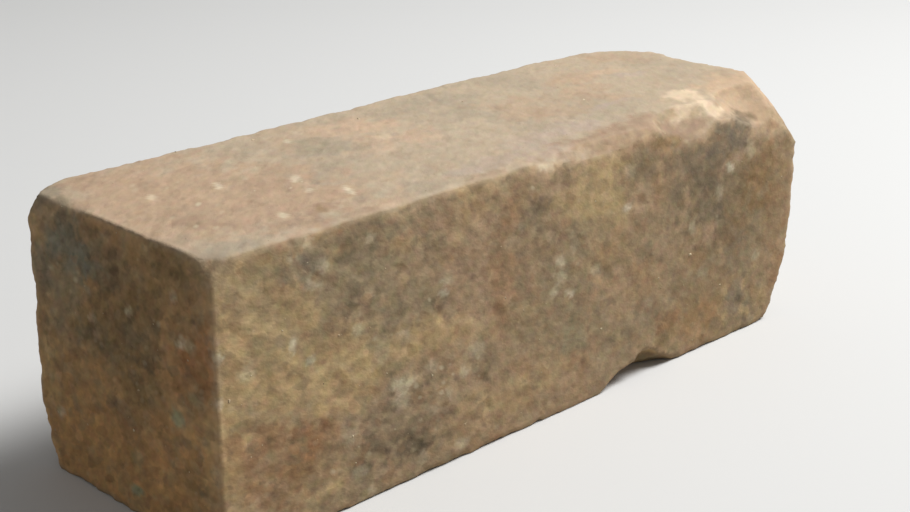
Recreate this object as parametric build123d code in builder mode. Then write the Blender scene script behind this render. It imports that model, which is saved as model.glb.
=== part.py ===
"""Tumbled clay paving brick of square section, in millimetres.

The brick lies on its long lower face. X runs along the length, from the near end to the far end,
Y from the front face to the back face, and Z up. The origin is the middle of the lower face.
"""

from build123d import *

import os
from math import sqrt
from typing import NamedTuple


class CornerWear(NamedTuple):
    """How far a worn corner reaches from the sharp one, and the ball that its surface is part of."""

    along: float
    across: float
    up: float
    ball_radius: float


class Spall(NamedTuple):
    """A scoop knocked out of an edge of the front face: its middle, measured from the near end,
    the length of edge it took, and how far it reaches over the front face and over the bed."""

    middle: float
    length: float
    over_front: float
    over_bed: float


# Fired size of the brick, over its flat faces
brick_length = 200.0
brick_width = 67.0
brick_height = 67.0

# Rounding of the edges, which knock against other bricks in the tumbling drum
long_edge_radius = 0.8
end_edge_radius = 0.6

# Corners worn off in the drum
near_front_top_wear = CornerWear(along=5.0, across=5.0, up=5.0, ball_radius=20.0)
near_back_top_wear = CornerWear(along=14.0, across=6.0, up=8.0, ball_radius=32.0)
near_front_bottom_wear = CornerWear(along=6.0, across=6.0, up=6.0, ball_radius=20.0)
near_back_bottom_wear = CornerWear(along=7.0, across=5.5, up=24.0, ball_radius=60.0)
far_front_top_wear = CornerWear(along=26.0, across=19.0, up=17.0, ball_radius=85.0)
far_back_top_wear = CornerWear(along=20.0, across=14.0, up=9.0, ball_radius=50.0)
far_front_bottom_wear = CornerWear(along=10.0, across=15.0, up=38.0, ball_radius=75.0)
far_back_bottom_wear = CornerWear(along=9.0, across=10.0, up=12.0, ball_radius=60.0)

# Spalls along the upper and the lower edge of the front face
worn_run = Spall(middle=117.0, length=48.0, over_front=3.3, over_bed=3.6)
top_spall = Spall(middle=152.5, length=30.0, over_front=6.4, over_bed=8.5)
top_flake = Spall(middle=167.0, length=17.0, over_front=4.2, over_bed=6.0)
shoulder_flake = Spall(middle=182.5, length=30.0, over_front=8.0, over_bed=12.0)
lower_spall = Spall(middle=134.5, length=32.0, over_front=5.0, over_bed=7.6)
lower_flake = Spall(middle=137.0, length=14.0, over_front=6.6, over_bed=6.0)

# Places of the ends and faces
near_end = -brick_length / 2
far_end = brick_length / 2
front_face = -brick_width / 2
back_face = brick_width / 2
lower_face = 0.0
top_face = brick_height

worn_corners = (
    (near_front_top_wear, (near_end, front_face, top_face), (1, 1, -1)),
    (near_back_top_wear, (near_end, back_face, top_face), (1, -1, -1)),
    (near_front_bottom_wear, (near_end, front_face, lower_face), (1, 1, 1)),
    (near_back_bottom_wear, (near_end, back_face, lower_face), (1, -1, 1)),
    (far_front_top_wear, (far_end, front_face, top_face), (-1, 1, -1)),
    (far_back_top_wear, (far_end, back_face, top_face), (-1, -1, -1)),
    (far_front_bottom_wear, (far_end, front_face, lower_face), (-1, 1, 1)),
    (far_back_bottom_wear, (far_end, back_face, lower_face), (-1, -1, 1)),
)


def ball_centre(wear, corner, inward):
    """Centre of the ball whose surface crosses the corner's three edges where the wear ends."""
    start = Vector(*corner)
    along = start + Vector(inward[0] * wear.along, 0, 0)
    across = start + Vector(0, inward[1] * wear.across, 0)
    up = start + Vector(0, 0, inward[2] * wear.up)
    first_side = across - along
    second_side = up - along
    normal = first_side.cross(second_side)
    to_middle = normal.cross(first_side) * second_side.dot(second_side)
    to_middle += second_side.cross(normal) * first_side.dot(first_side)
    to_middle *= 1 / (2 * normal.dot(normal))
    rise = sqrt(wear.ball_radius**2 - to_middle.dot(to_middle))
    if normal.dot(Vector(*inward)) < 0:
        normal = -normal
    return along + to_middle + normal.normalized() * rise


def corner_waste(wear, corner, inward):
    """The clay that one corner lost: a block round the corner, less the ball that stays."""
    block = [2 * reach + 2 * long_edge_radius for reach in (wear.along, wear.across, wear.up)]
    with BuildPart() as waste:
        with Locations(corner):
            Box(*block)
        with Locations(ball_centre(wear, corner, inward)):
            Sphere(wear.ball_radius, mode=Mode.SUBTRACT)
    return waste.part


def front_edge_scoop(spall, bed):
    """The clay that one spall took from the edge between the front face and a bed, as a ball."""
    half_length = spall.length / 2
    into_front = (spall.over_bed**2 - half_length**2) / (2 * spall.over_bed)
    into_bed = (spall.over_front**2 - half_length**2) / (2 * spall.over_front)
    radius = sqrt(half_length**2 + into_front**2 + into_bed**2)
    height = bed + into_bed if bed == lower_face else bed - into_bed
    with BuildPart() as scoop:
        with Locations((near_end + spall.middle, front_face + into_front, height)):
            Sphere(radius)
    return scoop.part


with BuildPart() as brick:
    with BuildSketch(Plane.YZ.offset(near_end)):
        with Locations((0, brick_height / 2)):
            Rectangle(brick_width, brick_height)
    extrude(amount=brick_length)

    # Edges rounded by the drum: the four long ones, then both ends all round
    fillet(brick.edges().filter_by(Axis.X), long_edge_radius)
    end_faces = brick.faces().filter_by(Axis.X)
    fillet(end_faces.edges(), end_edge_radius)

    # Corners knocked off
    for wear, corner, inward in worn_corners:
        add(corner_waste(wear, corner, inward), mode=Mode.SUBTRACT)

    # Spalls along the edges of the front face
    for spall in (worn_run, top_spall, top_flake, shoulder_flake):
        add(front_edge_scoop(spall, top_face), mode=Mode.SUBTRACT)
    for spall in (lower_spall, lower_flake):
        add(front_edge_scoop(spall, lower_face), mode=Mode.SUBTRACT)

brick.part.label = "brick"

os.makedirs("parts", exist_ok=True)
export_step(brick.part, "parts/brick.step")
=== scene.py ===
"""A tumbled clay paving brick: the relief and the kiln colours of its faces, on a pale studio floor."""

from math import radians
from typing import NamedTuple

import bmesh
import bpy
from bpy.props import FloatProperty, FloatVectorProperty, IntProperty, PointerProperty
from mathutils import Matrix, Vector


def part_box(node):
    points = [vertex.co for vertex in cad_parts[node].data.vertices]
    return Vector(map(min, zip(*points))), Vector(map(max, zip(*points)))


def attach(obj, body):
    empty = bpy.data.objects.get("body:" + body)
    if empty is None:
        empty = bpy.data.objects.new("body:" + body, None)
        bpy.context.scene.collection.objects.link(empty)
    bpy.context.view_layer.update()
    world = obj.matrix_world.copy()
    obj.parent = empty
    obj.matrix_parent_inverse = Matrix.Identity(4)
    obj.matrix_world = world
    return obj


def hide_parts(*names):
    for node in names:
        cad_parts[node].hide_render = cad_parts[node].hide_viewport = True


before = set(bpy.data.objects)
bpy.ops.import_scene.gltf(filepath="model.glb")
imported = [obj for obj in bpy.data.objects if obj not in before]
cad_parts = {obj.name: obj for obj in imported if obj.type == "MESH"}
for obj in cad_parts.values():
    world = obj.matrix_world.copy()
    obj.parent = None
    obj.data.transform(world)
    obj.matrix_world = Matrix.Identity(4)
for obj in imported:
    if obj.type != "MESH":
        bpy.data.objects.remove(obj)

bl_info = {
    "name": "Tumbled Clay Brick",
    "version": (1, 0, 0),
    "blender": (4, 5, 0),
    "location": "View3D > Sidebar > Brick",
    "description": "Weathers and colours a fired clay brick and sets it on a studio floor",
    "category": "Add Mesh",
}

MM = 0.001
X, Y, Z = range(3)
BRICK_NODE = "brick"
BRICK_LOW, BRICK_HIGH = (Vector(corner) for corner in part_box(BRICK_NODE))


# Settings


def swatch(name, red, green, blue):
    """A colour setting whose default is given as a swatch shows it, from 0 to 255."""
    shares = (value / 255 for value in (red, green, blue))
    linear = tuple(s / 12.92 if s <= 0.04045 else ((s + 0.055) / 1.055) ** 2.4 for s in shares)
    return FloatVectorProperty(
        name=name, description=f"{name} in the fired clay", subtype="COLOR", size=3, default=linear
    )


def length(name, description, millimetres):
    """A length setting, given in millimetres."""
    return FloatProperty(name=name, description=description, default=millimetres * MM, unit="LENGTH")


def angle(name, description, degrees):
    """An angle setting, given in degrees."""
    return FloatProperty(name=name, description=description, default=radians(degrees), unit="ROTATION")


class ClayColours(bpy.types.PropertyGroup):
    """Colours that the kiln, wear and dust gave the clay."""

    clay: swatch("Clay", 170, 146, 116)
    ochre: swatch("Ochre", 191, 166, 124)
    tan: swatch("Tan", 200, 171, 124)
    pink: swatch("Pink clay", 175, 149, 121)
    red: swatch("Red-brown", 158, 124, 91)
    rust: swatch("Rust", 160, 115, 78)
    warm: swatch("Warm brown", 174, 139, 96)
    amber: swatch("Amber brown", 197, 154, 104)
    umber: swatch("Umber", 133, 111, 78)
    olive: swatch("Olive grey", 149, 134, 107)
    grey: swatch("Kiln grey", 134, 119, 97)
    soot: swatch("Soot", 108, 95, 76)
    slate: swatch("Slate grey", 137, 125, 106)
    steel: swatch("Steel grey", 137, 134, 117)
    moss: swatch("Moss grey", 154, 158, 128)
    dust: swatch("Dust", 174, 157, 134)
    dust_pink: swatch("Pink dust", 173, 147, 122)
    dust_orange: swatch("Orange dust", 190, 162, 136)
    dust_grey: swatch("Grey dust", 159, 146, 126)
    dust_lavender: swatch("Lavender dust", 170, 153, 139)
    dust_brown: swatch("Brown dust", 153, 129, 107)
    cream: swatch("Fresh cream", 212, 190, 161)
    facet: swatch("Fresh tan", 186, 160, 132)
    broken: swatch("Broken brown", 144, 122, 99)
    lime: swatch("Lime", 203, 190, 160)
    white: swatch("White lime", 220, 210, 182)


class ReliefSettings(bpy.types.PropertyGroup):
    """Sizes of the relief that firing and tumbling left on the clay."""

    step: length("Mesh step", "Size of the mesh's cells", 0.87)
    swell: length("Swell", "How far the faces bow in and out", 0.35)
    lump: length("Lumps", "Height of the lumps on the faces", 0.26)
    pit: length("Pit depth", "Depth of the pits in the faces", 0.36)
    arris_loss: length("Arris loss", "Clay rubbed off the arrises", 0.45)
    chip: length("Chip depth", "Depth of the chips in the arrises", 0.9)
    grain: length("Grain", "Height of the sandy grain", 0.26)
    grit_density: FloatProperty(
        name="Grit density", description="Pale grains on a square metre", default=6000.0, min=0.0
    )
    grit_largest: length("Largest grit", "Radius of the largest grain", 0.75)
    seed: IntProperty(name="Seed", description="Changes what is random in the relief", default=7, min=0)


class StudioSettings(bpy.types.PropertyGroup):
    """Floor, light and camera round the brick."""

    floor_colour: FloatVectorProperty(
        name="Floor", description="Colour of the floor", subtype="COLOR", size=3,
        default=(0.64, 0.64, 0.63),
    )
    floor_bounce: FloatVectorProperty(
        name="Floor bounce", description="Colour that the floor throws back on the brick",
        subtype="COLOR", size=3, default=(0.36, 0.33, 0.29),
    )
    backdrop: FloatVectorProperty(
        name="Backdrop", description="Colour behind the floor", subtype="COLOR", size=3,
        default=(0.93, 0.93, 0.92),
    )
    sky: FloatProperty(name="Sky", description="Light from all round", default=0.24, min=0.0)
    key: FloatProperty(
        name="Key", description="Power of the softbox over the brick", default=20.5, unit="POWER"
    )
    azimuth: angle("Azimuth", "Camera's angle round the brick", -44.87)
    elevation: angle("Elevation", "Camera's angle over the floor", 20.10)
    roll: angle("Roll", "Camera's turn about its own axis", -0.03)
    distance: length("Distance", "From the camera to its target", 418.8)
    target: FloatVectorProperty(
        name="Target", description="Point in the middle of the picture", subtype="XYZ_LENGTH", size=3,
        default=(0.34 * MM, -0.10 * MM, 33.71 * MM),
    )
    lens: FloatProperty(name="Lens", description="Focal length", default=65.45, min=1.0, unit="CAMERA")


# Stains and knocks of this brick


class Stain(NamedTuple):
    """A patch of colour: the name of its colour, its middle and its reach along the face's two
    directions in millimetres, and how strongly it covers what is under it."""

    colour: str
    middle: tuple
    reach: tuple
    strength: float


def patches(*rows):
    """Stains, each from a row that gives its colour, middle, reach and strength."""
    return tuple(Stain(*row) for row in rows)


# Patches of the front face: along from the near end, and up
FRONT_STAINS = patches(
    ("clay", (95, 33), (140, 60), 0.75),
    # painted shade: the far part of the front face is made darker, as if less light reached it
    ("umber", (176, 32), (30, 40), 0.28),
    ("umber", (168, 38), (20, 13), 0.68),
    ("umber", (186, 38), (9, 10), 0.30),
    ("umber", (160, 14), (26, 9), 0.30),
    ("umber", (145, 12), (6, 6), 0.55),
    ("tan", (3, 34), (4, 36), 0.70),
    ("ochre", (9, 44), (13, 20), 0.60),
    ("ochre", (20, 47), (14, 9), 0.50),
    ("ochre", (30, 36), (24, 8), 0.95),
    ("ochre", (46, 31), (16, 5), 0.70),
    ("ochre", (64, 34), (16, 5), 0.45),
    ("pink", (76, 50), (17, 17), 0.70),
    ("ochre", (91, 11), (20, 6), 0.50),
    ("ochre", (73, 13), (9, 6), 0.30),
    ("ochre", (113, 57), (12, 8), 0.70),
    ("ochre", (121, 53), (11, 9), 0.80),
    ("facet", (131, 50), (5, 5), 0.45),
    ("olive", (12, 62), (13, 5), 0.50),
    ("olive", (34, 56), (12, 8), 0.60),
    ("olive", (45, 55), (11, 11), 0.72),
    ("olive", (54, 45), (12, 6), 0.62),
    ("olive", (30, 63), (26, 4), 0.50),
    ("grey", (44, 60), (6, 4), 0.50),
    ("grey", (34, 51), (4, 4), 0.40),
    ("tan", (24, 50), (6, 4), 0.30),
    ("tan", (76, 62), (9, 5), 0.30),
    ("pink", (60, 62), (7, 4), 0.50),
    ("ochre", (40, 25), (6, 4), 0.70),
    ("grey", (48, 43), (4, 4), 0.70),
    ("grey", (60, 44), (6, 4), 0.50),
    ("slate", (25, 60.5), (6, 6), 0.85),
    ("red", (13, 20), (18, 10), 0.85),
    ("red", (24, 18), (9, 10), 0.70),
    ("rust", (24, 19), (4, 7), 0.45),
    ("red", (86, 56), (5, 6), 0.60),
    ("red", (83, 40), (6, 14), 0.50),
    ("olive", (90, 30), (6, 9), 0.45),
    ("grey", (49, 15), (20, 10), 0.50),
    ("soot", (53, 11), (8, 5), 0.90),
    ("soot", (40, 12), (5, 4), 0.60),
    ("grey", (65, 13.5), (4, 2), 0.60),
    ("slate", (49, 26), (5, 6), 0.45),
    ("grey", (95, 57), (6, 4), 0.70),
    ("olive", (94, 51), (8, 4), 0.50),
    ("olive", (104, 32), (12, 16), 0.60),
    ("olive", (113, 23), (10, 9), 0.50),
    ("olive", (127, 13), (13, 7), 0.45),
    ("red", (135, 27), (8, 5), 0.45),
    ("red", (120, 40), (6, 4), 0.35),
    ("olive", (133, 56), (5, 6), 0.60),
    # painted shadow: a dark line under the lower lip of the spall
    ("umber", (143, 62.5), (6, 3), 0.75),
    ("grey", (146, 46), (6, 6), 0.45),
    ("grey", (154, 54), (12, 8), 0.80),
    ("grey", (160, 43), (12, 12), 0.80),
    ("soot", (158, 46), (6, 8), 0.35),
    ("grey", (166, 34), (10, 7), 0.50),
    ("slate", (167, 58), (9, 6), 0.90),
    ("soot", (165, 54), (7, 6), 0.35),
    ("slate", (174, 58), (5, 5), 0.80),
    ("facet", (188, 57), (10, 5), 0.50),
    ("warm", (186, 45), (14, 10), 0.20),
    ("red", (185, 43), (6, 5), 0.40),
    ("grey", (176, 24), (9, 9), 0.80),
    # painted shade near the bottom edge, where the brick meets the floor
    ("slate", (177, 10), (6, 6), 0.80),
    ("red", (195, 15), (4, 8), 0.60),
    ("red", (145, 13), (7, 4), 0.50),
    ("warm", (160, 9), (12, 5), 0.40),
    ("grey", (170, 44), (8, 9), 0.45),
    ("umber", (184, 43), (8, 9), 0.40),
    ("olive", (180, 25), (9, 8), 0.50),
    ("grey", (145, 43), (5, 6), 0.45),
    ("grey", (118, 45), (4, 4), 0.50),
    ("grey", (76, 23), (4, 4), 0.45),
    ("umber", (122, 38), (14, 5), 0.22),
    ("tan", (59, 36), (7, 5), 0.45),
    ("tan", (36, 29), (12, 4), 0.40),
    ("tan", (12, 38), (9, 5), 0.50),
    ("facet", (183, 56), (6, 4), 0.50),
    ("umber", (197, 55), (3, 6), 0.60),
    ("olive", (40, 64), (30, 4), 0.50),
    ("ochre", (10, 63), (12, 4), 0.50),
    ("olive", (181, 20), (7, 8), 0.50),
    # painted shade along the bottom edge, where the brick meets the floor
    ("grey", (176, 4), (13, 4), 0.55),
    ("grey", (135, 18), (6, 6), 0.45),
    ("olive", (43, 39), (6, 4), 0.50),
    ("umber", (90, 28), (4, 6), 0.35),
    ("ochre", (50, 57), (4, 3), 0.45),
    ("ochre", (127, 51), (5, 3), 0.40),
    ("facet", (173, 53), (4, 3), 0.40),
    ("moss", (109, 20), (5, 8), 0.22),
    ("umber", (20, 14), (5, 4), 0.35),
    ("tan", (2, 20), (3, 7), 0.45),
)

# Patches of the near end: across from the middle, and up
END_STAINS = patches(
    ("warm", (0, 33), (60, 60), 0.80),
    # painted light: the lower part of the near end paler and warmer, as if lit by light thrown up from the
    # floor
    ("amber", (2, 5), (60, 27), 0.92),
    ("umber", (-22, 63), (12, 5), 0.70),
    ("umber", (-6, 53), (14, 11), 0.65),
    ("umber", (3, 42), (19, 11), 0.80),
    ("umber", (-7, 31), (10, 7), 0.60),
    ("soot", (6, 57), (9, 9), 0.65),
    ("soot", (9, 38), (9, 5), 0.50),
    ("soot", (-4, 45), (6, 6), 0.40),
    ("rust", (-29, 43), (7, 13), 0.70),
    ("rust", (-22, 41), (8, 9), 0.40),
    ("umber", (-29, 40), (4, 5), 0.50),
    ("steel", (19, 57), (13, 9), 0.95),
    ("olive", (22, 46), (13, 9), 0.75),
    ("slate", (28, 49), (6, 6), 0.75),
    ("soot", (18, 62), (8, 3), 0.55),
    ("umber", (-25, 14), (9, 5), 0.35),
    ("rust", (-5, 20), (20, 5), 0.20),
    ("tan", (28, 23), (5, 9), 0.45),
    ("tan", (30, 60), (3.4, 4), 0.45),
    ("tan", (-31.5, 24), (3, 13), 0.50),
    ("soot", (-13, 43), (5, 5), 0.40),
    ("soot", (-2, 23), (8, 4), 0.35),
    ("amber", (10, 34), (5, 4), 0.40),
    ("steel", (22, 37), (7, 5), 0.30),
    ("umber", (-25, 17), (5, 5), 0.45),
    ("rust", (-30, 37), (4, 5), 0.40),
    ("umber", (-8, 34), (7, 6), 0.40),
)

# Patches of the upper bed: along from the near end, and across from the middle
TOP_STAINS = patches(
    ("dust_pink", (18, 3), (36, 40), 0.90),
    ("dust_pink", (38, -14), (16, 18), 0.70),
    ("dust", (4, 25), (6, 9), 0.60),
    ("dust_brown", (12, -9), (6, 9), 0.55),
    ("dust_brown", (20, 16), (5, 6), 0.35),
    ("dust_brown", (39, -3), (4, 8), 0.55),
    ("dust_brown", (37, -25), (6, 3), 0.90),
    ("umber", (35.5, -26), (2.4, 3), 0.50),
    ("dust_grey", (6, -29), (12, 5), 0.95),
    ("dust_brown", (9, 29), (8, 4), 0.80),
    ("dust_pink", (45, 0), (9, 11), 0.70),
    ("dust_orange", (76, 20), (7, 6), 0.70),
    ("dust_orange", (75, 0), (6, 5), 0.45),
    ("dust_grey", (120, 20), (9, 8), 0.75),
    ("dust_lavender", (120, -20), (13, 6), 0.65),
    ("cream", (104, 0), (9, 6), 0.22),
    ("dust_orange", (76, 10), (5, 7), 0.50),
    ("dust_brown", (27, -26), (6, 4), 0.45),
    ("dust_brown", (44, -20), (6, 4), 0.30),
    ("dust_brown", (14, -13), (5, 5), 0.35),
    ("dust_orange", (55, -28), (9, 4), 0.35),
    ("dust", (62, -14), (6, 6), 0.40),
    ("dust_grey", (66, 12), (11, 9), 0.90),
    ("olive", (66, 14), (8, 6), 0.28),
    ("dust_grey", (53, 22), (7, 11), 0.40),
    ("dust_orange", (88, 19), (9, 8), 0.80),
    ("dust_orange", (88, 2), (9, 8), 0.60),
    ("cream", (83, 8), (4, 3), 0.45),
    ("dust_grey", (106, 24), (15, 5), 0.60),
    ("dust_grey", (116, 9), (5, 11), 0.55),
    ("dust_lavender", (103, -20), (10, 7), 0.50),
    ("dust_lavender", (84, -25), (14, 5), 0.60),
    ("dust_pink", (130, -6), (14, 8), 0.55),
    ("dust_pink", (151, 3), (10, 8), 0.65),
    ("dust_pink", (160, 14), (12, 7), 0.70),
    ("dust_orange", (172, 11), (6, 4), 0.60),
    ("dust_pink", (184, 23), (7, 6), 0.60),
    ("dust_lavender", (146, -12), (10, 2.5), 0.60),
    ("dust_lavender", (173, 5), (10, 3), 0.65),
    ("dust_brown", (117, -31), (15, 5), 0.95),
    ("dust_brown", (139, -30), (17, 6), 0.92),
    ("dust_brown", (146, -26), (7, 3), 0.50),
    ("dust_brown", (97, -32), (8, 3), 0.80),
    ("dust_brown", (80, -32), (9, 3), 0.70),
    ("dust_brown", (42, -32), (8, 2.5), 0.50),
    ("dust", (80, -12), (28, 9), 0.35),
    ("dust_grey", (185, -6), (9, 12), 0.45),
    ("dust_brown", (34, -30), (4, 4), 0.55),
    ("dust_lavender", (100, -31), (10, 3), 0.50),
)

# Patches of the chips and the worn corners: along, across and up
FRESH_STAINS = patches(
    ("broken", (149, -32, 62), (11, 5, 4), 0.90),
    ("dust_pink", (157, -31.5, 63), (6, 3, 3), 0.55),
    ("facet", (187, -25, 64), (17, 16, 9), 0.95),
    ("cream", (167, -20, 67), (8, 6, 4), 0.85),
    ("cream", (165, -29, 65.5), (6, 4, 3.5), 0.90),
    ("cream", (153.5, -29, 65), (4, 2.4, 3), 0.70),
    ("cream", (157, -26.5, 66), (4, 2.5, 2.5), 0.80),
    ("dust_brown", (152, -30.5, 64), (9, 2.6, 3), 0.75),
    ("facet", (157.5, -33.2, 61), (2.6, 1.6, 2), 0.70),
    # painted shadow: a dark line under the lower lip of the spall
    ("umber", (145, -33.2, 62), (10, 1.5, 2.2), 0.85),
    ("clay", (189, -31.5, 60), (8, 3, 3.5), 0.80),
    ("slate", (174, -32.5, 60.5), (5, 4, 3), 0.85),
    ("pink", (188, -29, 60.5), (9, 4, 3), 0.55),
    ("soot", (178.5, -30, 60.8), (5, 3.5, 3), 0.80),
    ("soot", (176, -32.5, 60.2), (6, 2, 2.5), 0.60),
    ("cream", (161.5, -27.5, 65.4), (4, 3.6, 3), 0.85),
    ("soot", (170.5, -33, 62), (4, 2.5, 2.2), 0.30),
    ("clay", (0, 27, 63.5), (3, 6, 3.4), 0.75),
    ("slate", (1.5, 29, 66.5), (4, 6.5, 3.2), 0.95),
    ("grey", (0.6, 20, 67), (2, 6, 2), 0.80),
)

# Blotches of lime, along the same directions as the patches
FRONT_LIME = patches(
    ("white", (1.2, 46.5), (1.4, 1.3), 0.85),
    ("white", (1.0, 36.5), (1.1, 1.2), 0.75),
    ("lime", (7.5, 41), (3, 2.4), 0.50),
    ("white", (20, 44), (1.3, 2), 0.75),
    ("white", (24.6, 38.6), (1.7, 1.1), 0.75),
    ("lime", (24, 65), (2.2, 1.4), 0.50),
    ("lime", (28.5, 59), (1.8, 1.8), 0.60),
    ("lime", (22.5, 62), (1.8, 2), 0.45),
    ("lime", (26, 55), (2.6, 1.2), 0.50),
    ("lime", (42, 61.5), (1.4, 1.2), 0.60),
    ("lime", (38, 41.5), (1.8, 1.4), 0.60),
    ("lime", (44.5, 35), (2.6, 4), 0.35),
    ("lime", (51, 36), (2.6, 2), 0.30),
    ("lime", (50.6, 25), (3.8, 2.4), 0.95),
    ("lime", (50.5, 20.8), (2.6, 3), 0.60),
    ("lime", (59, 26.8), (3, 2), 0.50),
    ("lime", (63, 18), (3.6, 2), 0.45),
    ("lime", (60, 16), (3, 2), 0.40),
    ("lime", (73.5, 26.3), (3.8, 2.6), 0.60),
    ("lime", (70, 21.3), (2, 2), 0.75),
    ("lime", (64.5, 46), (3.2, 1.3), 0.60),
    ("white", (63.3, 43.4), (2, 1), 0.55),
    ("lime", (36, 17), (2.8, 2.8), 0.40),
    ("lime", (38, 8), (2.6, 1.6), 0.40),
    ("lime", (41, 2), (1.8, 2), 0.50),
    ("lime", (57, 4.5), (2.2, 1.6), 0.55),
    ("lime", (69.5, 4.2), (3, 1.8), 0.55),
    ("lime", (88.5, 52), (1.6, 1.6), 0.50),
    ("white", (97, 66), (4, 2), 0.60),
    ("lime", (103, 40.5), (2.6, 2.2), 0.70),
    ("lime", (102.5, 35.5), (3, 4.5), 0.60),
    ("white", (106.3, 31.6), (2.6, 1.1), 0.60),
    ("lime", (100.5, 33), (1.8, 1.3), 0.60),
    ("lime", (116, 34.5), (3, 1.8), 0.45),
    ("lime", (107, 45), (1.4, 3), 0.30),
    ("white", (127.5, 48), (2.2, 1.2), 0.80),
    ("lime", (128, 57), (2.6, 2), 0.35),
    ("white", (169.7, 49.5), (1.9, 1.4), 0.90),
    ("lime", (165.5, 43.5), (2.4, 1.8), 0.50),
    ("pink", (162, 33), (4.5, 4), 0.70),
    ("lime", (155, 36), (1.8, 2.4), 0.50),
    ("lime", (178.5, 52), (2.4, 2.4), 0.40),
    ("lime", (184, 20.6), (2, 1.5), 0.60),
    ("lime", (137, 20), (2.4, 2.4), 0.35),
    ("lime", (160, 22), (2.6, 1.6), 0.40),
)
END_LIME = patches(
    ("lime", (-25, 47.4), (3.4, 1.3), 0.65),
    ("white", (-22, 46.4), (1.8, 0.9), 0.60),
    ("lime", (-5.2, 48.8), (1.6, 1.1), 0.75),
    ("lime", (-21, 56.3), (1.4, 1.4), 0.60),
    ("lime", (10, 43), (1.8, 1.2), 0.45),
    ("pink", (8, 40), (2, 1.6), 0.60),
    ("lime", (10.5, 49), (1.6, 1.5), 0.40),
    ("lime", (24.5, 50.8), (2.2, 1.2), 0.50),
    ("moss", (-20.5, 29.4), (3.4, 2.4), 0.80),
    ("moss", (-27, 36), (3, 2.4), 0.45),
    ("moss", (-3.2, 6.2), (2.6, 1.6), 0.85),
    ("moss", (-4, 15), (3, 2.2), 0.40),
    ("lime", (26, 15.3), (2.4, 1.7), 0.65),
)
TOP_LIME = patches(
    ("white", (47, -3), (1.6, 2.6), 0.50),
    ("white", (49.5, -18), (1.2, 3), 0.60),
    ("white", (31, 4), (1, 2), 0.60),
    ("white", (43.3, -12.5), (1.3, 1.3), 0.60),
    ("white", (64.5, 21), (1.2, 2), 0.45),
    ("white", (28, -22), (1.2, 1.6), 0.40),
    ("white", (16, 8), (1.2, 2), 0.40),
)

# Where the faces are speckled with fine lime and pores
FRONT_SPECKLE = patches(
    ("lime", (25, 60), (9, 8), 1.0),
    ("lime", (22, 42), (8, 6), 0.6),
    ("lime", (36, 40), (10, 6), 0.6),
    ("lime", (56, 22), (15, 9), 1.0),
    ("lime", (36, 13), (9, 7), 0.7),
    ("lime", (72, 24), (7, 6), 0.9),
    ("lime", (64, 45), (8, 5), 0.8),
    ("lime", (96, 58), (8, 9), 1.0),
    ("lime", (103, 37), (8, 12), 0.9),
    ("lime", (115, 33), (8, 6), 0.7),
    ("lime", (160, 38), (10, 8), 0.5),
    ("lime", (180, 50), (8, 6), 0.5),
)
END_SPECKLE = patches(
    ("lime", (-22, 47), (10, 8), 0.6),
    ("lime", (18, 52), (12, 10), 0.6),
    ("lime", (-4, 46), (6, 6), 0.5),
)
TOP_SPECKLE = patches(
    ("lime", (26, -8), (20, 16), 0.7),
    ("lime", (46, -12), (8, 12), 0.8),
    ("lime", (158, -27), (12, 5), 0.6),
)


class Blotches(NamedTuple):
    """A colour that shows wherever a noise is high: its name, the size of the noise's lumps in
    millimetres, the heights where it begins and where it is full, how strongly it covers what is
    under it, and the shift that gives it lumps of its own."""

    colour: str
    size: float
    start: float
    full: float
    strength: float
    shift: float


# Blotches of the clay, of its crumbs, and of the dust and its crumbs
KILN_BLOTCHES = (
    Blotches("pink", 38.0, 0.42, 0.60, 0.9, 60.0),
    Blotches("ochre", 30.0, 0.52, 0.62, 0.9, 90.0),
    Blotches("red", 32.0, 0.54, 0.66, 0.9, 130.0),
    Blotches("olive", 26.0, 0.54, 0.64, 0.9, 170.0),
    Blotches("soot", 17.0, 0.60, 0.72, 0.7, 190.0),
    Blotches("lime", 9.0, 0.66, 0.76, 0.5, 200.0),
)
CRUMB_BLOTCHES = (
    Blotches("red", 5.5, 0.52, 0.72, 0.32, 230.0),
    Blotches("olive", 5.0, 0.52, 0.72, 0.45, 260.0),
    Blotches("ochre", 4.0, 0.56, 0.74, 0.30, 290.0),
)
DUST_BLOTCHES = (
    Blotches("dust_grey", 24.0, 0.50, 0.66, 0.6, 320.0),
    Blotches("dust_pink", 22.0, 0.52, 0.66, 0.5, 350.0),
)
DUST_CRUMB_BLOTCHES = (Blotches("dust_brown", 4.5, 0.54, 0.74, 0.30, 380.0),)


class Bruise(NamedTuple):
    """A place where knocks rounded an arris: its middle and reach along, across and up in
    millimetres, and how far it is rounded, from 0 to 1."""

    middle: tuple
    reach: tuple
    share: float


# Rounded places: along from the near end, across from the middle, and up
BRUISES = (
    Bruise((0, 19, 67), (3.5, 8, 4), 0.55),
    Bruise((0, -32, 66), (5, 5, 5), 0.40),
    Bruise((97, -33.5, 67), (5, 4, 4), 0.45),
    Bruise((82, -33.5, 67), (6, 4, 4), 0.30),
    Bruise((52, -33.5, 67), (4, 4, 4), 0.30),
    Bruise((27, -33.5, 67), (6, 4, 4), 0.35),
    Bruise((137, -33.5, 66), (5, 4, 4), 0.40),
    Bruise((146, -33, 62), (13, 3, 3), 0.60),
    Bruise((174, -28, 64.5), (8, 7, 5), 1.00),
    Bruise((187, -33, 58), (11, 4, 4), 0.70),
)

CLAY_RUN = (0.66, 0.67, -0.34)  # the direction in which the clay's marks are drawn out
CLAY_DRAW = 3.0  # how many times longer they are along it
STAIN_DEPTH = 12.0  # how far a stain reaches into the clay, so that worn corners show it too
LIME_DEPTH = 3.0  # how far a blotch of lime reaches into the clay
DUST_STRENGTH = 0.94  # how strongly dust covers the upper bed
WHOLE_TURN = 6.28  # the most that a grain of grit is turned about each axis, in radians


def on_front(stain, depth):
    """A front stain's middle and reach in the brick's frame, in millimetres."""
    (along, up), (reach_along, reach_up) = stain.middle, stain.reach
    return (BRICK_LOW.x / MM + along, BRICK_LOW.y / MM, up), (reach_along, depth, reach_up)


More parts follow.
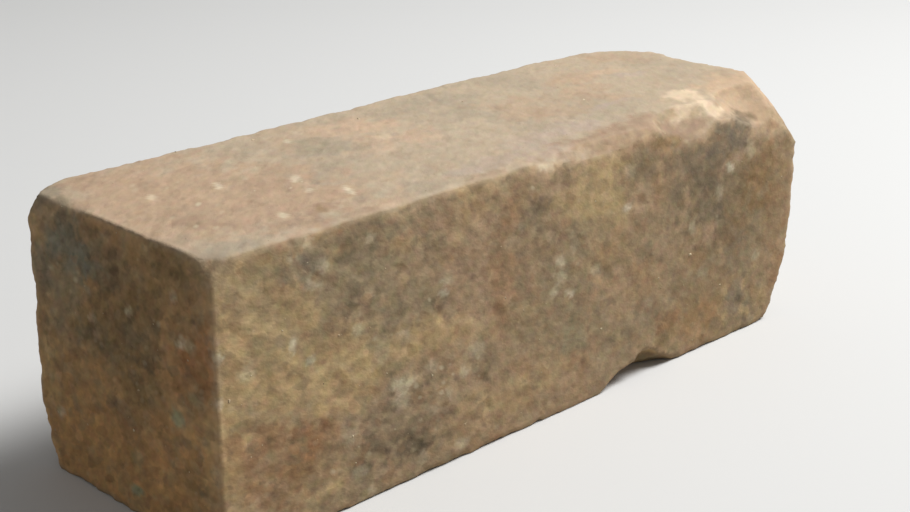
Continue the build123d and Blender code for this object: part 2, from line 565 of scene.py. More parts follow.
def on_near_end(stain, depth):
    """An end stain's middle and reach in the brick's frame, in millimetres."""
    (across, up), (reach_across, reach_up) = stain.middle, stain.reach
    return (BRICK_LOW.x / MM, across, up), (depth, reach_across, reach_up)


def on_top(stain, depth):
    """An upper stain's middle and reach in the brick's frame, in millimetres."""
    (along, across), (reach_along, reach_across) = stain.middle, stain.reach
    return (BRICK_LOW.x / MM + along, across, BRICK_HIGH.z / MM), (reach_along, reach_across, depth)


def in_space(stain, depth):
    """A middle and reach in the brick's frame, of a stain that has all three directions of its own
    and needs no depth."""
    along, across, up = stain.middle
    return (BRICK_LOW.x / MM + along, across, up), stain.reach


def drawn(place):
    """The places of stains among points that are drawn out with the clay."""
    along = Vector(CLAY_RUN).normalized()
    shorter = 1.0 - 1.0 / CLAY_DRAW

    def drawn_place(stain, depth):
        """The middle and reach that another function gives, drawn out."""
        middle, reach = place(stain, depth)
        middle = Vector(middle) - along * Vector(middle).dot(along) * shorter
        reach = [across * (1.0 - shorter * share**2) for across, share in zip(reach, along)]
        return middle, reach

    return drawn_place


# Helpers for node trees


def in_use(sockets, name=None):
    """The socket that a node's settings leave in use, by its name or else the first."""
    return next(socket for socket in sockets if socket.enabled and name in (None, socket.name))


def fill(tree, socket, value):
    """Links another node's output to an input, or sets the input's value."""
    if isinstance(value, bpy.types.NodeSocket):
        tree.links.new(value, socket)
    elif socket.type == "RGBA":
        socket.default_value = (*value[:3], 1.0)
    else:
        socket.default_value = value


def add_node(tree, kind, inputs=None, **settings):
    """Adds a node, sets its settings, and fills its inputs with values or with other nodes' outputs."""
    node = tree.nodes.new(kind)
    for name, value in settings.items():
        setattr(node, name, value)
    for key, value in (inputs or {}).items():
        socket = in_use(node.inputs, key) if isinstance(key, str) else node.inputs[key]
        fill(tree, socket, value)
    return node


def made(tree, kind, inputs=None, output=None, **settings):
    """Adds a node and gives its output."""
    return in_use(add_node(tree, kind, inputs, **settings).outputs, output)


def maths(tree, operation, first, second=0.0, third=0.0):
    """The result of one sum on numbers."""
    inputs = {0: first, 1: second, 2: third}
    return made(tree, "ShaderNodeMath", inputs, operation=operation)


def product(tree, first, *others):
    """Numbers multiplied together."""
    for other in others:
        first = maths(tree, "MULTIPLY", first, other)
    return first


def vector_maths(tree, operation, first, second=(0.0, 0.0, 0.0)):
    """What comes of two vectors: a vector, or a number for a length or a dot product."""
    return made(tree, "ShaderNodeVectorMath", {0: first, 1: second}, operation=operation)


def scaled(tree, vector, factor):
    """A vector made longer by a factor."""
    return made(tree, "ShaderNodeVectorMath", {0: vector, "Scale": factor}, operation="SCALE")


def part_of(tree, vector, axis):
    """One number of a vector, or of a colour read as a vector."""
    return add_node(tree, "ShaderNodeSeparateXYZ", {0: vector}).outputs[axis]


def spread(tree, value, start, end, low=0.0, high=1.0, smooth=False):
    """Low where a value is at start or before it, high where it is at end or past it."""
    shape = "SMOOTHSTEP" if smooth else "LINEAR"
    inputs = {"Value": value, "From Min": start, "From Max": end, "To Min": low, "To Max": high}
    return made(tree, "ShaderNodeMapRange", inputs, interpolation_type=shape)


def between(tree, share, at_none, at_all):
    """A value that goes evenly from one to another as a share goes from 0 to 1."""
    return spread(tree, share, 0.0, 1.0, at_none, at_all)


def noise(tree, point, size, detail=2.0, roughness=0.5, shift=0.0, output="Fac"):
    """Noise whose lumps are about size across, in the units of the point. The shift moves it, so that
    two uses don't have their lumps in the same places."""
    moved = vector_maths(tree, "ADD", point, (shift, shift * 0.7, shift * 1.3))
    inputs = {"Vector": moved, "Scale": 1.0 / size, "Detail": detail, "Roughness": roughness}
    return made(tree, "ShaderNodeTexNoise", inputs, output)


def about_zero(tree, fac, height):
    """Noise from 0 to 1 as a height above and below the face."""
    return product(tree, maths(tree, "MULTIPLY_ADD", fac, 2.0, -1.0), height)


def push(tree, point, size, detail=2.0, shift=0.0):
    """Noise as a vector, with each of its numbers from -0.5 to 0.5."""
    colour = noise(tree, point, size, detail=detail, shift=shift, output="Color")
    return vector_maths(tree, "SUBTRACT", colour, (0.5, 0.5, 0.5))


def warped(tree, point, size, reach, shift=0.0):
    """A point shifted a little from place to place, so that what is drawn there has ragged edges."""
    return vector_maths(tree, "ADD", point, scaled(tree, push(tree, point, size, shift=shift), reach))


def drawn_out(tree, point):
    """A point for patterns that are drawn out along the clay's run."""
    along = Vector(CLAY_RUN).normalized()
    run = product(tree, vector_maths(tree, "DOT_PRODUCT", point, along), 1.0 - 1.0 / CLAY_DRAW)
    return vector_maths(tree, "SUBTRACT", point, scaled(tree, along, run))


def away_from(tree, point, middle, reach):
    """How far a point is from a middle, as a share of the reach along each direction."""
    away = vector_maths(tree, "SUBTRACT", point, middle)
    return vector_maths(tree, "LENGTH", vector_maths(tree, "DIVIDE", away, reach))


def marks(tree, point, spacing, smallest, largest, shift):
    """A round mark in each cell of a random pattern, with its radius as a share of the spacing: 1 in
    its middle and 0 outside it, and the cell's chance from 0 to 1."""
    moved = vector_maths(tree, "ADD", point, (shift, shift, shift))
    pattern = add_node(tree, "ShaderNodeTexVoronoi", {"Vector": moved, "Scale": 1.0 / spacing})
    chance = in_use(pattern.outputs, "Color")
    radius = maths(tree, "MULTIPLY_ADD", part_of(tree, chance, 1), largest - smallest, smallest)
    away = maths(tree, "DIVIDE", in_use(pattern.outputs, "Distance"), radius)
    return spread(tree, away, 1.0, 0.2, smooth=True), part_of(tree, chance, 0)


def spots(tree, point, spacing, share, shift=0.0):
    """Marks in some cells of a random pattern."""
    mark, chance = marks(tree, point, spacing, 0.12, 0.42, shift)
    return product(tree, mark, maths(tree, "LESS_THAN", chance, share))


def dabs(tree, point, spacing, strength, shift):
    """Marks in every cell of a random pattern, each darker or paler by its own share of a strength."""
    mark, chance = marks(tree, point, spacing, 0.35, 0.75, shift)
    return product(tree, mark, maths(tree, "MULTIPLY_ADD", chance, 2.0 * strength, -strength))


def mix(tree, factor, under, over, blend="MIX"):
    """One colour laid over another."""
    inputs = {"Factor": factor, "A": under, "B": over}
    return made(tree, "ShaderNodeMix", inputs, data_type="RGBA", blend_type=blend)


def add_sockets(tree, direction, **kinds):
    """Adds inputs or outputs to a node group, with the names in kinds."""
    for name, kind in kinds.items():
        words = name.replace("_", " ")
        tree.interface.new_socket(name=words, in_out=direction, socket_type=f"NodeSocket{kind}")


def new_geometry_tree(name, **kinds):
    """An empty tree that takes and gives a mesh, and its inputs."""
    tree = bpy.data.node_groups.new(name, "GeometryNodeTree")
    add_sockets(tree, "OUTPUT", Geometry="Geometry")
    add_sockets(tree, "INPUT", Geometry="Geometry", **kinds)
    return tree, tree.nodes.new("NodeGroupInput").outputs


def finish_tree(tree, result):
    """Gives a tree its result."""
    add_node(tree, "NodeGroupOutput", {0: result})
    return tree


def position(tree):
    """Where a point of the mesh is, in metres."""
    return made(tree, "GeometryNodeInputPosition")


def millimetre_point(tree, seed):
    """Where a point of the mesh is, in millimetres, moved by the seed into other noise."""
    shift = scaled(tree, (31.0, 17.0, 53.0), seed)
    return vector_maths(tree, "ADD", scaled(tree, position(tree), 1 / MM), shift)


def keep(tree, geometry, name, value, domain="POINT", kind="FLOAT"):
    """Keeps a value on the mesh under a name that the material reads."""
    inputs = {"Geometry": geometry, "Name": name, "Value": value}
    return made(tree, "GeometryNodeStoreNamedAttribute", inputs, data_type=kind, domain=domain)


def move(tree, geometry, **inputs):
    """Moves a mesh's points by an Offset or to a Position."""
    return made(tree, "GeometryNodeSetPosition", {"Geometry": geometry, **inputs})


def surroundings(tree, iterations):
    """The middle of what lies round a point on the mesh."""
    inputs = {"Value": position(tree), "Iterations": iterations}
    return made(tree, "GeometryNodeBlurAttribute", inputs, data_type="FLOAT_VECTOR")


def crest(tree, iterations):
    """How far a point stands out of its surroundings, along its normal, in metres."""
    stands = vector_maths(tree, "SUBTRACT", position(tree), surroundings(tree, iterations))
    return vector_maths(tree, "DOT_PRODUCT", stands, made(tree, "GeometryNodeInputNormal"))


# Relief of the clay

# Sizes of the relief's patterns across the faces, in millimetres
SWELL_SIZE = 42.0
LUMP_SIZE = 10.0
GRAIN_SIZE = 3.4
RUBBED_SIZE = 6.0
PIT_SPACING = 6.5
CHIP_SPACING = 10.0


def knocked(tree, geometry):
    """Rounds the arrises where knocks bruised them."""
    rough = warped(tree, scaled(tree, position(tree), 1 / MM), 4.0, 2.5, shift=190.0)
    rounded = 0.0
    for bruise in BRUISES:
        along, across, up = bruise.middle
        away = away_from(tree, rough, (BRICK_LOW.x / MM + along, across, up), bruise.reach)
        share = spread(tree, away, 1.3, 0.3, 0.0, bruise.share, smooth=True)
        rounded = maths(tree, "MAXIMUM", share, rounded)
    inwards = vector_maths(tree, "SUBTRACT", surroundings(tree, 60), position(tree))
    return move(tree, geometry, Offset=scaled(tree, inwards, rounded))


def lifted(tree, geometry):
    """Lifts what reaches lower than the floor that the brick lies on."""
    along, across, up = (part_of(tree, position(tree), axis) for axis in (X, Y, Z))
    inputs = {0: along, 1: across, 2: maths(tree, "MAXIMUM", up, 0.0)}
    return move(tree, geometry, Position=made(tree, "ShaderNodeCombineXYZ", inputs))


def relief_tree():
    """Node tree that wears a smooth solid: bruises, bowed faces, lumps, pits, sandy grain, and
    arrises that are rubbed here and chipped there."""
    tree, given = new_geometry_tree(
        "Fired clay relief", Swell="Float", Lump="Float", Pit="Float", Arris_loss="Float", Chip="Float",
        Grain="Float", Seed="Int",
    )
    body = knocked(tree, given["Geometry"])
    point = drawn_out(tree, millimetre_point(tree, given["Seed"]))
    normal = made(tree, "GeometryNodeInputNormal")
    upward = spread(tree, part_of(tree, normal, Z), 0.35, 0.95, smooth=True)
    arris = spread(tree, crest(tree, 10), 0.10 * MM, 0.65 * MM, smooth=True)

    swell = about_zero(tree, noise(tree, point, SWELL_SIZE, detail=1.0), given["Swell"])
    lumps = noise(tree, point, LUMP_SIZE, detail=3.0, roughness=0.55, shift=40.0)
    lumps = about_zero(tree, lumps, given["Lump"])
    grain = noise(tree, point, GRAIN_SIZE, detail=1.6, roughness=0.6, shift=80.0)
    grain = about_zero(tree, grain, given["Grain"])
    grain = product(tree, grain, between(tree, upward, 1.0, 0.55))
    pits = spots(tree, warped(tree, point, 3.0, 1.0), PIT_SPACING, 0.30)
    pits = product(tree, pits, given["Pit"])
    rubbed = noise(tree, point, RUBBED_SIZE, detail=3.0, roughness=0.65, shift=120.0)
    rubbed = spread(tree, rubbed, 0.42, 0.66, smooth=True)
    rubbed = product(tree, arris, rubbed, given["Arris loss"])
    chips = spots(tree, warped(tree, point, 4.0, 4.0, shift=30.0), CHIP_SPACING, 0.30, shift=160.0)
    chips = product(tree, chips, arris, given["Chip"])

    height = maths(tree, "ADD", maths(tree, "ADD", swell, lumps), grain)
    for loss in (pits, rubbed, chips):
        height = maths(tree, "SUBTRACT", height, loss)
    body = keep(tree, body, "upward", upward)
    body = keep(tree, body, "arris", arris)
    for name, axis in (("endward", X), ("frontward", Y)):
        body = keep(tree, body, name, spread(tree, part_of(tree, normal, axis), -0.35, -0.85, smooth=True))
    body = move(tree, body, Offset=scaled(tree, normal, height))
    body = lifted(tree, body)

    # The material darkens the hollows as painted shade, and pales the crests
    body = keep(tree, body, "crest_and_hollow_shade", spread(tree, crest(tree, 4), -0.10 * MM, 0.10 * MM))
    return finish_tree(tree, body)


# Colours of the clay


def stain_group():
    """Node group that lays one stain over a colour, with an edge broken up by the mottle."""
    group = bpy.data.node_groups.new("Stain", "GeometryNodeTree")
    add_sockets(group, "OUTPUT", Colour="Color", Cover="Float")
    add_sockets(
        group, "INPUT", Colour="Color", Point="Vector", Mottle="Float", Middle="Vector", Reach="Vector",
        Stain="Color", Strength="Float",
    )
    given = group.nodes.new("NodeGroupInput").outputs
    away = away_from(group, given["Point"], given["Middle"], given["Reach"])
    cover = maths(group, "ADD", spread(group, away, 1.35, 0.25), given["Mottle"])
    cover = product(group, spread(group, cover, 0.2, 0.8, smooth=True), spread(group, away, 1.5, 1.1))
    cover = product(group, cover, given["Strength"])
    stained = mix(group, cover, given["Colour"], given["Stain"])
    add_node(group, "NodeGroupOutput", {0: stained, 1: cover})
    return group


class Painter(NamedTuple):
    """What colours are laid with: the tree, the stain group, the palette and the mottle."""

    tree: object
    group: object
    colours: object
    mottle: object

    def stained(self, colour, stain, point, place, depth):
        """Lays one stain over a colour, and gives the new colour and how far the stain covers it."""
        middle, reach = place(stain, depth)
        node = add_node(self.tree, "GeometryNodeGroup", node_tree=self.group)
        inputs = {
            "Colour": colour,
            "Point": point,
            "Mottle": self.mottle,
            "Middle": middle,
            "Reach": reach,
            "Stain": getattr(self.colours, stain.colour),
            "Strength": stain.strength,
        }
        for name, value in inputs.items():
            fill(self.tree, node.inputs[name], value)
        return node.outputs

    def lay(self, colour, stains, point, place, depth=STAIN_DEPTH):
        """Lays stains over a colour, one after another."""
        for stain in stains:
            colour = self.stained(colour, stain, point, place, depth)["Colour"]
        return colour

    def cover(self, stains, point, place):
        """How far stains cover the clay, without their colour."""
        most = 0.0
        for stain in stains:
            cover = self.stained(self.colours.clay, stain, point, place, STAIN_DEPTH)["Cover"]
            most = maths(self.tree, "MAXIMUM", cover, most)
        return most

    def blotched(self, colour, layers, point):
        """Lays blotches over a colour, one layer after another."""
        for layer in layers:
            cover = noise(self.tree, point, layer.size, detail=2.0, shift=layer.shift)
            cover = spread(self.tree, cover, layer.start, layer.full, 0.0, layer.strength, smooth=True)
            colour = mix(self.tree, cover, colour, getattr(self.colours, layer.colour))
        return colour


def kept(tree, name):
    """A value that an earlier tree kept on the mesh."""
    return made(tree, "GeometryNodeInputNamedAttribute", {"Name": name}, data_type="FLOAT")


def dust_cover(tree, still, upward):
    """How far dust covers the clay: the upper bed, with ragged edges that here stop short of the
    arrises and there reach a little over them."""
    end, front, top = BRICK_LOW.x / MM, BRICK_LOW.y / MM, BRICK_HIGH.z / MM
    ragged = warped(tree, still, 4.5, 5.0, shift=65.0)
    short_of_front = spread(tree, part_of(tree, ragged, Y), front - 1.6, front + 0.2)
    short_of_end = spread(tree, part_of(tree, ragged, X), end - 1.6, end + 0.2)
    over = spread(tree, part_of(tree, ragged, Z), top - 0.2, top + 1.4, 0.0, 0.7)
    return maths(tree, "MAXIMUM", product(tree, upward, short_of_front, short_of_end), over)


def paint_tree(colours):
    """Node tree that keeps the clay's colour on each point of the mesh: kiln colours in blotches on
    every face, the stains of the front and the near end, dust on the upper bed, and fresh chips."""
    tree, given = new_geometry_tree("Kiln colours", Seed="Int")
    still = scaled(tree, position(tree), 1 / MM)
    point = millimetre_point(tree, given["Seed"])
    ragged = warped(tree, warped(tree, still, 13.0, 12.0), 3.5, 4.5, shift=15.0)
    slightly = warped(tree, still, 2.6, 1.8, shift=25.0)
    fleck = drawn_out(tree, warped(tree, still, 2.6, 1.0, shift=25.0))
    crumb = drawn_out(tree, point)
    upward, frontward, endward = (kept(tree, name) for name in ("upward", "frontward", "endward"))
    mottle = noise(tree, crumb, 3.6, detail=2.0, roughness=0.65, shift=20.0)
    mottle = spread(tree, mottle, 0.32, 0.68, -0.35, 0.35)
    painter = Painter(tree, stain_group(), colours, mottle)

    # The clay under the stains, which also shows on the hidden faces
    drift = warped(tree, warped(tree, point, 16.0, 18.0, shift=35.0), 3.5, 4.0, shift=45.0)
    colour = painter.blotched(colours.clay, KILN_BLOTCHES, drift)

    front = painter.lay(colour, FRONT_STAINS, ragged, on_front)
    end = painter.lay(colour, END_STAINS, ragged, on_near_end)
    colour = mix(tree, endward, mix(tree, frontward, colour, front), end)

    # A few millimetres across: redder here, greyer there
    colour = painter.blotched(colour, CRUMB_BLOTCHES, crumb)
    colour = painter.lay(colour, FRONT_LIME, fleck, drawn(on_front), LIME_DEPTH)
    colour = painter.lay(colour, END_LIME, fleck, drawn(on_near_end), LIME_DEPTH)

    # Dust dulls the upper bed
    dusty = painter.blotched(colours.dust, DUST_BLOTCHES, drift)
    dusty = painter.lay(dusty, TOP_STAINS, ragged, on_top)
    dusty = painter.blotched(dusty, DUST_CRUMB_BLOTCHES, crumb)
    dusty = painter.lay(dusty, TOP_LIME, fleck, drawn(on_top), LIME_DEPTH)
    dust = product(tree, dust_cover(tree, still, upward), DUST_STRENGTH)
    colour = mix(tree, dust, colour, dusty)
    colour = painter.lay(colour, FRESH_STAINS, slightly, in_space)

    # Where fine lime and pores show
    speckle = 0.0
    for stains, place, share in (
        (FRONT_SPECKLE, on_front, frontward),
        (END_SPECKLE, on_near_end, endward),
        (TOP_SPECKLE, on_top, upward),
    ):
        cover = product(tree, painter.cover(stains, ragged, place), share)
        speckle = maths(tree, "MAXIMUM", cover, speckle)

    body = keep(tree, given["Geometry"], "paint", colour, kind="FLOAT_COLOR")
    body = keep(tree, body, "speckle", speckle)
    return finish_tree(tree, keep(tree, body, "grit", 0.0))


def random_value(tree, low, high, seed):
    """A number or a vector between low and high, drawn at random for each grain."""
    kind = "FLOAT_VECTOR" if isinstance(low, tuple) else "FLOAT"
    inputs = {"Min": low, "Max": high, "Seed": seed}
    return made(tree, "FunctionNodeRandomValue", inputs, data_type=kind)


def grit_tree():
    """Node tree that sets small angular grains of grit into every face but the lower bed."""
    tree, given = new_geometry_tree("Grit", Density="Float", Largest="Float", Seed="Int", Clay="Material")
    body = made(tree, "GeometryNodeSetShadeSmooth", {"Geometry": given["Geometry"]})
    facing = part_of(tree, made(tree, "GeometryNodeInputNormal"), Z)
    share = maths(tree, "GREATER_THAN", facing, -0.3)
    share = product(tree, share, spread(tree, facing, 0.3, 0.9, 1.0, 0.6))
    scatter = add_node(
        tree, "GeometryNodeDistributePointsOnFaces",
        {"Mesh": body, "Density": product(tree, share, given["Density"]), "Seed": given["Seed"]},
    )
    chance = random_value(tree, 0.0, 1.0, seed=3)
    radius = between(tree, maths(tree, "POWER", chance, 4.0), 0.30, 1.0)
    radius = product(tree, radius, given["Largest"])
    sunk = scaled(tree, in_use(scatter.outputs, "Normal"), product(tree, radius, -0.6))
    points = move(tree, in_use(scatter.outputs, "Points"), Offset=sunk)

    stone = made(tree, "GeometryNodeMeshIcoSphere", {"Radius": 1.0, "Subdivisions": 1})
    stone = move(tree, stone, Offset=push(tree, position(tree), 0.6))
    stone = made(tree, "GeometryNodeSetShadeSmooth", {"Geometry": stone, "Shade Smooth": False})
    form = random_value(tree, (0.7, 0.7, 0.5), (1.3, 1.2, 0.9), seed=5)
    grains = made(
        tree, "GeometryNodeInstanceOnPoints",
        {
            "Points": points,
            "Instance": stone,
            "Rotation": random_value(tree, (0.0,) * 3, (WHOLE_TURN,) * 3, seed=9),
            "Scale": scaled(tree, form, radius),
        },
    )
    tone = random_value(tree, 0.2, 1.0, seed=13)
    grains = keep(tree, grains, "grit", tone, domain="INSTANCE")
    grains = made(tree, "GeometryNodeRealizeInstances", {"Geometry": grains})

    joined = tree.nodes.new("GeometryNodeJoinGeometry")
    tree.links.new(grains, joined.inputs[0])
    tree.links.new(body, joined.inputs[0])
    whole = made(tree, "GeometryNodeRealizeInstances", {"Geometry": joined.outputs[0]})
    whole = made(tree, "GeometryNodeSetMaterial", {"Geometry": whole, "Material": given["Clay"]})
    return finish_tree(tree, whole)


# Sizes of the material's patterns, in millimetres
COARSE_SIZE = 4.2
MIDDLE_SIZE = 2.2
FINE_SIZE = 1.1
LARGE_DAB_SPACING = 3.2
SMALL_DAB_SPACING = 1.9
GROG_SIZE = 2.4
TINT_SIZE = 1.7
DARK_MARK_SIZE = 2.4
PORE_SPACING = 3.4
FLECK_SPACING = 2.7
SAND_SIZE = 1.1
SAND_HEIGHT = 0.22

# The clay grows finer along the brick, from one place to another in millimetres, down to a share
FINER_FROM = -60.0
FINER_TO = 70.0
FINEST = 0.62


def attribute(tree, name, output="Fac"):
    """A value that the node trees kept on the mesh."""
    return made(tree, "ShaderNodeAttribute", None, output, attribute_name=name)


def grog(tree, colours, colour, point, strength):
    """Gives each crumb of crushed clay a tone of its own, and some a redder or greyer colour."""
    inputs = {"Vector": warped(tree, point, 1.5, 1.2), "Scale": 1 / GROG_SIZE, "Smoothness": 0.4}
    chance = made(tree, "ShaderNodeTexVoronoi", inputs, "Color", feature="SMOOTH_F1")
    redder = spread(tree, part_of(tree, chance, 1), 0.65, 0.95, 0.0, strength)
    greyer = spread(tree, part_of(tree, chance, 1), 0.35, 0.05, 0.0, strength)
    colour = mix(tree, redder, colour, colours.red)
    colour = mix(tree, greyer, colour, colours.olive)
    tone = product(tree, maths(tree, "SUBTRACT", part_of(tree, chance, 0), 0.5), strength)
    return scaled(tree, colour, maths(tree, "ADD", tone, 1.0))


def mottled(tree, colour, point, parts, contrast, upward):
    """Makes a colour darker and paler from 4 mm down to the grain, with a tint of its own here and
    there."""
    tone = dabs(tree, point, LARGE_DAB_SPACING, 0.20, shift=270.0)
    tone = maths(tree, "ADD", tone, dabs(tree, point, SMALL_DAB_SPACING, 0.18, shift=280.0))
    for part, weight in parts:
        tone = maths(tree, "ADD", tone, maths(tree, "MULTIPLY_ADD", part, weight, -weight / 2))
    tone = maths(tree, "MULTIPLY_ADD", tone, contrast, 1.0)
    tint = push(tree, point, TINT_SIZE, detail=1.0, shift=240.0)
    tint = scaled(tree, tint, between(tree, upward, 0.18, 0.11))
    shade = made(tree, "ShaderNodeCombineXYZ", {0: tone, 1: tone, 2: tone})
    return mix(tree, 1.0, colour, vector_maths(tree, "ADD", shade, tint), blend="MULTIPLY")


def speckled(tree, colours, colour, point, contrast, near):
    """Adds small dark marks, then pores and pale flecks, most of them where the clay is speckled."""
    speckle = attribute(tree, "speckle")
    dark = noise(tree, point, DARK_MARK_SIZE, detail=2.0, shift=290.0)
    dark = spread(tree, dark, 0.60, 0.70, smooth=True)
    colour = mix(tree, product(tree, dark, contrast, 0.30), colour, colours.soot)
    broken = warped(tree, point, 2.2, 0.5, shift=310.0)
    pores = product(tree, spots(tree, broken, PORE_SPACING, 0.55, shift=300.0), contrast)
    pores = product(tree, pores, maths(tree, "MULTIPLY_ADD", speckle, 0.42, 0.22))
    colour = mix(tree, pores, colour, colours.soot)
    flecks = spots(tree, broken, FLECK_SPACING, 0.50, shift=330.0)
    flecks = product(tree, flecks, near, maths(tree, "MULTIPLY_ADD", speckle, 0.60, 0.16))
    return mix(tree, flecks, colour, colours.lime)


def gritty(tree, colours, colour):
    """Gives the grains of grit tones of their own, from clay to lime."""
    grit = attribute(tree, "grit")
    grit_colour = mix(tree, spread(tree, grit, 0.2, 0.9), colours.clay, colours.lime)
    return mix(tree, spread(tree, grit, 0.05, 0.15), colour, grit_colour)


def clay_material(colours):
    """Fired clay: the colours kept on the mesh, with mottle, painted shade in the hollows, pores, flecks,
    pale dust on the arrises that is partly a painted highlight, and a sandy bump.
    """
    material = bpy.data.materials.new("Fired clay")
    material.use_nodes = True
    tree = material.node_tree
    tree.nodes.clear()
    point = scaled(tree, tree.nodes.new("ShaderNodeTexCoord").outputs["Object"], 1 / MM)
    near = spread(tree, part_of(tree, point, X), FINER_FROM, FINER_TO, 1.0, FINEST)
    point = drawn_out(tree, point)
    colour = attribute(tree, "paint", "Color")
    upward = attribute(tree, "upward")

    # Burnt clay is coarser than ochre, the far end is finer, and dust evens out the upper bed
    lightness = made(tree, "ShaderNodeRGBToBW", {0: colour})
    contrast = spread(tree, lightness, 0.16, 0.36, 1.30, 0.80)
    contrast = product(tree, contrast, near, between(tree, upward, 1.0, 0.55))
    grog_strength = product(tree, between(tree, upward, 0.32, 0.11), near)
    colour = grog(tree, colours, colour, point, grog_strength)

    coarse = noise(tree, point, COARSE_SIZE, detail=1.0, shift=210.0)
    middle = noise(tree, point, MIDDLE_SIZE, detail=1.0, shift=230.0)
    fine = noise(tree, point, FINE_SIZE, detail=1.0, shift=250.0)
    # the crest value paints shade into the hollows and pales the crests
    parts = ((coarse, 0.24), (middle, 0.36), (fine, 0.40), (attribute(tree, "crest_and_hollow_shade"), 0.30))
    colour = mottled(tree, colour, point, parts, contrast, upward)
    colour = speckled(tree, colours, colour, point, contrast, near)

    # Pale dust on the rubbed arrises, partly a painted highlight along them
    colour = mix(tree, product(tree, attribute(tree, "arris"), fine, 0.50), colour, colours.dust)
    colour = gritty(tree, colours, colour)

    # Sandy bump, finer than the mesh's cells
    sand = noise(tree, point, SAND_SIZE, detail=2.0, roughness=0.6, shift=370.0)
    bump = {"Height": sand, "Strength": 0.5, "Distance": SAND_HEIGHT * MM}
    inputs = {
        "Base Color": colour,
        "Roughness": spread(tree, coarse, 0.3, 0.7, 0.84, 0.98),
        "Specular IOR Level": 0.25,
        "Normal": made(tree, "ShaderNodeBump", bump),
    }
    shader = made(tree, "ShaderNodeBsdfPrincipled", inputs)
    add_node(tree, "ShaderNodeOutputMaterial", {"Surface": shader})
    return material


# The brick

MESH_DEPTH = 8  # the mesh's cells are a box round the brick, halved this many times


def merged_copy(node, name):
    """A copy of a frame node whose triangles are joined at their corners."""
    mesh = node.data.copy()
    mesh.materials.clear()
    work = bmesh.new()
    work.from_mesh(mesh)
    bmesh.ops.remove_doubles(work, verts=work.verts, dist=0.001 * MM)
    work.to_mesh(mesh)
    work.free()
    copy = bpy.data.objects.new(name, mesh)
    bpy.context.scene.collection.objects.link(copy)
    return copy


def bake_modifiers(thing):
    """Gives an object the plain mesh that its modifiers make of it, and removes them."""
    graph = bpy.context.evaluated_depsgraph_get()
    shown = thing.evaluated_get(graph)
    mesh = bpy.data.meshes.new_from_object(shown, preserve_all_data_layers=True, depsgraph=graph)
    old = thing.data
    thing.modifiers.clear()
    thing.data = mesh
    bpy.data.meshes.remove(old)
    if not mesh.polygons:
        raise RuntimeError(f"the modifiers of {thing.name} left no mesh")


def run_tree(thing, tree, values):
    """Runs a node tree on an object, with a value for each of its named inputs."""
    modifier = thing.modifiers.new(tree.name, "NODES")
    modifier.node_group = tree
    for socket in tree.interface.items_tree:
        if socket.in_out == "INPUT" and socket.name in values:
            modifier[socket.identifier] = values[socket.name]
    bake_modifiers(thing)


class BrickOperator(bpy.types.Operator):
    """Make the fired brick: the solid's form with the relief, the colours and the grit of fired clay"""

    bl_idname = "brick.fired_brick"
    bl_label = "Fired Brick"

    def execute(self, context):
        sizes = context.scene.brick_relief
        colours = context.scene.brick_colours
        brick = merged_copy(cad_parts[BRICK_NODE], "fired_brick")
        even = brick.modifiers.new("Even mesh", "REMESH")
        even.mode = "SHARP"
        even.octree_depth = MESH_DEPTH
        even.scale = (BRICK_HIGH.x - BRICK_LOW.x) / (sizes.step * 2**MESH_DEPTH)
        even.use_remove_disconnected = False
        bake_modifiers(brick)

        relief = {
            "Swell": sizes.swell,
            "Lump": sizes.lump,
            "Pit": sizes.pit,
            "Arris loss": sizes.arris_loss,
            "Chip": sizes.chip,
            "Grain": sizes.grain,
            "Seed": sizes.seed,
        }
        run_tree(brick, relief_tree(), relief)
        run_tree(brick, paint_tree(colours), {"Seed": sizes.seed})
        grit = {
            "Density": sizes.grit_density,
            "Largest": sizes.grit_largest,
            "Seed": sizes.seed,
            "Clay": clay_material(colours),
        }
        run_tree(brick, grit_tree(), grit)

        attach(brick, "root")
        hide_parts(BRICK_NODE)
        return {"FINISHED"}


# The stage

# Sizes and places on the stage, in metres
FLOOR_REACH = 3.0
SOFTBOX_SIDE = 0.6
SOFTBOX_PLACE = (0.58, -0.36, 1.08)


def seen_or_lit(tree, seen, lit):
    """A colour that the camera, gloss and glass see, and another one that lights the brick."""
    path = tree.nodes.new("ShaderNodeLightPath").outputs
    looked_at = maths(tree, "MAXIMUM", path["Is Camera Ray"], path["Is Glossy Ray"])
    looked_at = maths(tree, "MAXIMUM", looked_at, path["Is Transmission Ray"])
    return mix(tree, looked_at, lit, seen)


def floor_material(studio):
    """Plain pale paper."""
    material = bpy.data.materials.new("Pale floor")
    material.use_nodes = True
    tree = material.node_tree
    shader = tree.nodes["Principled BSDF"]
    shader.inputs["Roughness"].default_value = 0.9
    shader.inputs["Specular IOR Level"].default_value = 0.1
    colour = seen_or_lit(tree, studio.floor_colour, studio.floor_bounce)
    tree.links.new(colour, shader.inputs["Base Color"])
    return material


def add_floor(studio):
    """A level floor under the brick."""
    mesh = bpy.data.meshes.new("floor")
    corners = [(x * FLOOR_REACH, y * FLOOR_REACH, 0.0) for x, y in ((-1, -1), (1, -1), (1, 1), (-1, 1))]
    mesh.from_pydata(corners, [], [(0, 1, 2, 3)])
    mesh.materials.append(floor_material(studio))
    floor = bpy.data.objects.new("floor", mesh)
    bpy.context.scene.collection.objects.link(floor)


def add_sky(studio):
    """Even light from all round, and a pale background."""
    world = bpy.data.worlds.new("Studio")
    world.use_nodes = True
    tree = world.node_tree
    background = tree.nodes["Background"]
    colour = seen_or_lit(tree, studio.backdrop, (studio.sky,) * 3)
    tree.links.new(colour, background.inputs["Color"])
    background.inputs["Strength"].default_value = 1.0
    bpy.context.scene.world = world


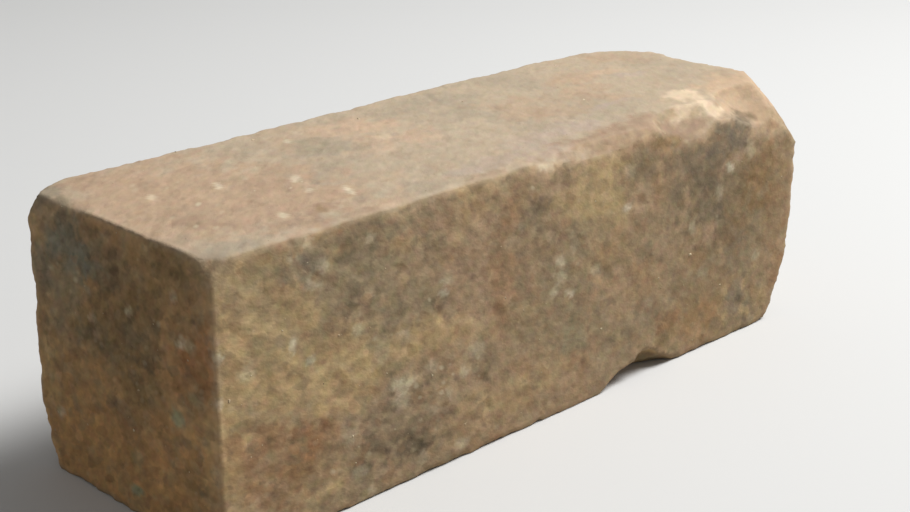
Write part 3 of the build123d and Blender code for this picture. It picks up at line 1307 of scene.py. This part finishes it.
def add_softbox(name, power, side, place):
    """A square softbox that faces the brick."""
    lamp = bpy.data.lights.new(name, "AREA")
    lamp.energy = power
    lamp.shape = "SQUARE"
    lamp.size = side
    softbox = bpy.data.objects.new(name, lamp)
    aim = Vector((0.0, 0.0, BRICK_HIGH.z / 2)) - Vector(place)
    softbox.location = place
    softbox.rotation_euler = aim.to_track_quat("-Z", "Y").to_euler()
    bpy.context.scene.collection.objects.link(softbox)


def add_camera(studio):
    """The camera, turned about its target and then rolled about its own axis."""
    camera = bpy.data.objects.new("camera", bpy.data.cameras.new("camera"))
    camera.data.lens = studio.lens
    tilt = Matrix.Rotation(radians(90) - studio.elevation, 3, "X")
    turn = Matrix.Rotation(studio.azimuth, 3, "Z") @ tilt @ Matrix.Rotation(studio.roll, 3, "Z")
    camera.location = Vector(studio.target) + turn @ Vector((0.0, 0.0, studio.distance))
    camera.rotation_euler = turn.to_euler()
    bpy.context.scene.collection.objects.link(camera)
    bpy.context.scene.camera = camera


class StageOperator(bpy.types.Operator):
    """Set up the floor, the light and the camera"""

    bl_idname = "brick.stage"
    bl_label = "Studio Stage"

    def execute(self, context):
        studio = context.scene.brick_studio
        add_floor(studio)
        add_sky(studio)
        add_softbox("key", studio.key, SOFTBOX_SIDE, SOFTBOX_PLACE)
        add_camera(studio)
        context.scene.view_settings.view_transform = "Standard"
        return {"FINISHED"}


class BrickPanel(bpy.types.Panel):
    """Sidebar panel with the brick's settings and operators"""

    bl_idname = "VIEW3D_PT_brick"
    bl_label = "Tumbled Clay Brick"
    bl_space_type = "VIEW_3D"
    bl_region_type = "UI"
    bl_category = "Brick"

    def draw(self, context):
        scene = context.scene
        for groups, operator in (
            ((scene.brick_relief, scene.brick_colours), BrickOperator),
            ((scene.brick_studio,), StageOperator),
        ):
            box = self.layout.box()
            for settings in groups:
                for name in settings.bl_rna.properties.keys():
                    if name not in ("rna_type", "name"):
                        box.prop(settings, name)
            box.operator(operator.bl_idname)


# The add-on

CLASSES = (ClayColours, ReliefSettings, StudioSettings, BrickOperator, StageOperator, BrickPanel)


def register():
    """Adds the settings, the operators and the panel."""
    for item in CLASSES:
        bpy.utils.register_class(item)
    bpy.types.Scene.brick_colours = PointerProperty(type=ClayColours)
    bpy.types.Scene.brick_relief = PointerProperty(type=ReliefSettings)
    bpy.types.Scene.brick_studio = PointerProperty(type=StudioSettings)


def unregister():
    """Takes them out again."""
    del bpy.types.Scene.brick_studio
    del bpy.types.Scene.brick_relief
    del bpy.types.Scene.brick_colours
    for item in reversed(CLASSES):
        bpy.utils.unregister_class(item)


def main():
    """Makes the brick and its stage."""
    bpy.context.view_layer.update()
    register()
    bpy.ops.brick.fired_brick()
    bpy.ops.brick.stage()


if __name__ == "__main__":
    main()
